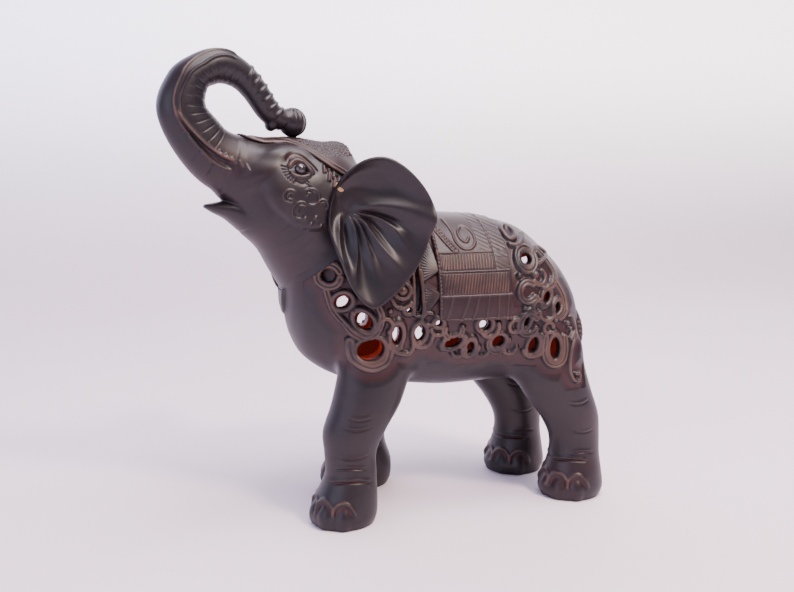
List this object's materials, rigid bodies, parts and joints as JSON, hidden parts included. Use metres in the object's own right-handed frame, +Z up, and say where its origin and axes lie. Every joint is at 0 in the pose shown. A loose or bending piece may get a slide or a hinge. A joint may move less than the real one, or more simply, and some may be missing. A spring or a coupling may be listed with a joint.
{
  "type": "elephant figurine",
  "caption": "Standing elephant figurine in dark carved wood, with a raised looped trunk, spread ears, a saddle cloth and pierced scrollwork flanks.",
  "frame": {"origin": "on the resting surface, under the middle of the figure's box", "axes": "+Z up; the elephant faces -X and its left side is -Y"},
  "size_m": [0.273, 0.1233, 0.2763],
  "materials": {
    "carved_wood": "near-black brown stain with satin lacquer, worn to red-brown in the hollows",
    "cloth_relief": "red-brown stain under satin lacquer, in fine relief",
    "inner_wood": "saturated red-brown stain inside the hollow body",
    "eye_bead": "gloss black lacquer",
    "dowel_wood": "raw pale hardwood, unseen"
  },
  "bodies": {
    "root": {"body_left": "carved_wood", "body_right": "carved_wood", "neck": "carved_wood", "head": "carved_wood", "lower_jaw": "carved_wood", "trunk": "carved_wood", "left_ear": "carved_wood", "right_ear": "carved_wood", "left_eye": "eye_bead", "right_eye": "eye_bead", "headdress": "cloth_relief", "saddle_top": "cloth_relief", "saddle_left_flap": "cloth_relief", "saddle_right_flap": "cloth_relief", "front_left_leg": "carved_wood", "front_right_leg": "carved_wood", "hind_left_leg": "carved_wood", "hind_right_leg": "carved_wood", "tail": "carved_wood", "leg_dowels": "dowel_wood", "ear_dowels": "dowel_wood", "neck_dowels": "dowel_wood", "head_dowels": "dowel_wood", "trunk_dowel": "dowel_wood", "tail_dowel": "dowel_wood", "jaw_pins": "dowel_wood", "body_pins": "dowel_wood"}
  },
  "joints": []
}
